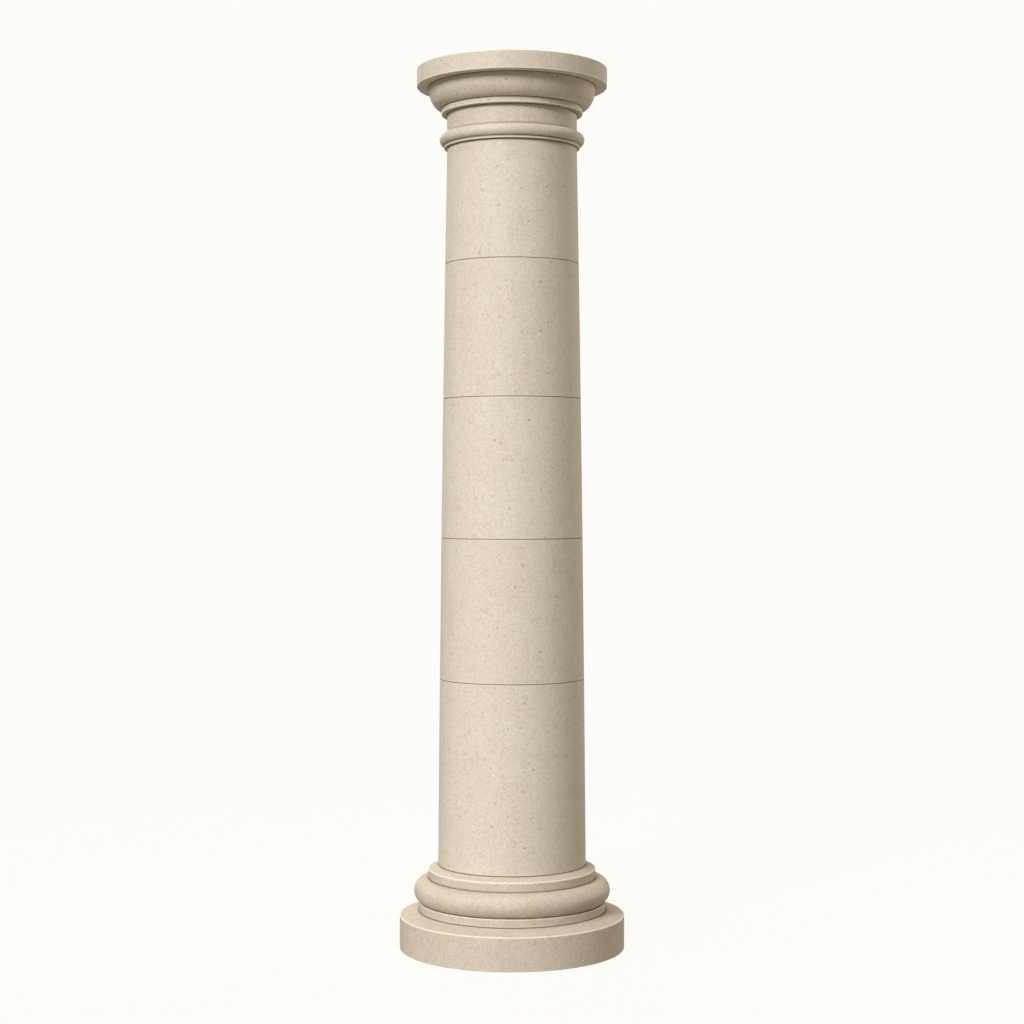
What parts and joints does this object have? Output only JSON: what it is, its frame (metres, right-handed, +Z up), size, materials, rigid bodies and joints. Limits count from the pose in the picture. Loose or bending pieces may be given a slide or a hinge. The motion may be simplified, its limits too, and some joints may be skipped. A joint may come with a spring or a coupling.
{
  "type": "doric column",
  "caption": "Plain tapering stone column on a round plinth and moulded base, with an astragal, a quarter-round capital and a round abacus.",
  "frame": {"origin": "middle of the plinth's underside, on the ground", "axes": "+Z up along the column's axis; the blocks are round about it"},
  "size_m": [0.769, 0.769, 3],
  "materials": {
    "plinth_limestone": "rubbed, fine-grained, matt",
    "base_limestone": "rubbed, fine-grained, matt",
    "shaft_limestone": "rubbed, fine-grained, matt",
    "capital_limestone": "rubbed, fine-grained, matt"
  },
  "bodies": {
    "root": {"plinth": "plinth_limestone", "base": "base_limestone", "drum_1": "shaft_limestone", "drum_2": "shaft_limestone", "drum_3": "shaft_limestone", "drum_4": "shaft_limestone", "drum_5": "shaft_limestone", "capital": "capital_limestone"}
  },
  "joints": []
}
